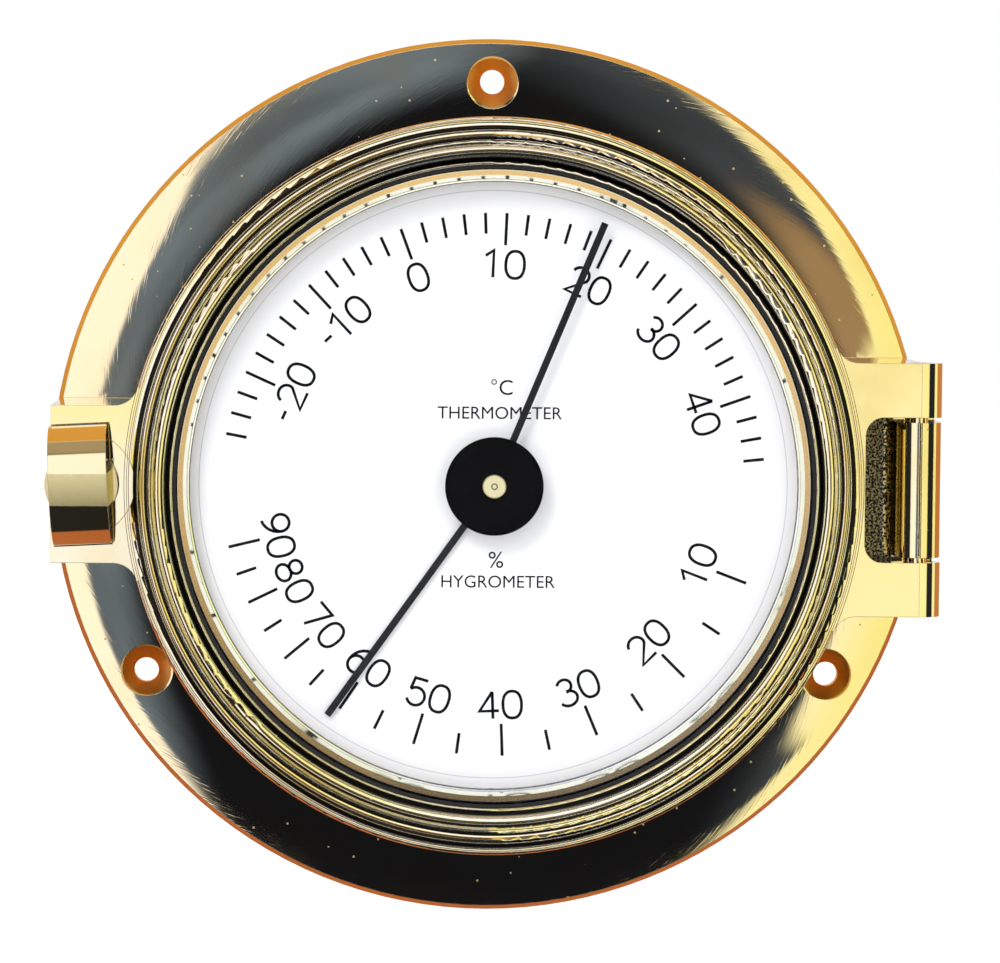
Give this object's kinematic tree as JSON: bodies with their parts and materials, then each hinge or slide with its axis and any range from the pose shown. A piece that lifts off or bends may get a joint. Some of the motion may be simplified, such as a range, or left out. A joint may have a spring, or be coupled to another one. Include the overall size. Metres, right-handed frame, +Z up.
{
  "type": "wall hygrometer",
  "caption": "Brass porthole wall instrument: a white dial with thermometer and hygrometer pointers behind a hinged, latched glass bezel.",
  "frame": {"origin": "centre of the flange's back face, on the wall", "axes": "+Z up the wall, to the top screw; -Y out of the wall, towards the reader; +X to the reader's right, the hinge side"},
  "size_m": [0.15, 0.0504, 0.15],
  "materials": {
    "polished_brass": "polished",
    "spring_bronze": "rolled",
    "steel": "satin",
    "black_rubber": "matt",
    "black_plastic": "moulded",
    "dial_white": "satin enamel with a printed scale",
    "pointer_black": "matt enamel",
    "clear_glass": "clear"
  },
  "bodies": {
    "case": {"case_body": "polished_brass", "case_gasket": "black_rubber", "hinge_pin": "polished_brass", "keeper_clip": "spring_bronze", "keeper_screw": "polished_brass", "dial_carrier": "black_plastic", "carrier_screws": "steel", "dial_plate": "dial_white", "dial_screws": "steel", "centre_post": "polished_brass", "post_washer": "steel", "post_nut": "polished_brass", "middle_collet": "polished_brass", "upper_collet": "polished_brass", "hub_cover_disc": "pointer_black", "post_cap": "polished_brass", "humidity_coil": "spring_bronze", "bimetal_coil": "steel"},
    "bezel": {"bezel_frame": "polished_brass", "glass": "clear_glass", "glass_gasket": "black_rubber", "glass_retaining_ring": "polished_brass", "wave_washer": "steel"},
    "latch": {"turn_button": "polished_brass", "button_collar": "polished_brass", "latch_shaft": "polished_brass", "latch_dog": "polished_brass", "dog_screw": "steel", "retaining_clip": "steel"},
    "temperature_hand": {"thermometer_pointer": "pointer_black"},
    "humidity_hand": {"hygrometer_pointer": "pointer_black"}
  },
  "joints": [
    {"name": "bezel_hinge", "type": "hinge", "parent": "case", "child": "bezel", "pos_m": [0.0704, -0.0342, 0], "axis": [0, 0, 1], "range_deg": [0, 120], "deforming": ["keeper_clip"]},
    {"name": "latch_turn", "type": "hinge", "parent": "bezel", "child": "latch", "pos_m": [-0.0679, -0.038, 0], "axis": [0, -1, 0], "range_deg": [-3, 87]},
    {"name": "temperature_turn", "type": "hinge", "parent": "case", "child": "temperature_hand", "pos_m": [0, -0.0332, 0], "axis": [0, -1, 0], "range_deg": [-61.7, 101.9], "stiffness_Nm_per_rad": 0.02, "deforming": ["bimetal_coil"]},
    {"name": "humidity_turn", "type": "hinge", "parent": "case", "child": "humidity_hand", "pos_m": [0, -0.03155, 0], "axis": [0, -1, 0], "range_deg": [-41.2, 104.9], "stiffness_Nm_per_rad": 0.02, "deforming": ["humidity_coil"]}
  ]
}
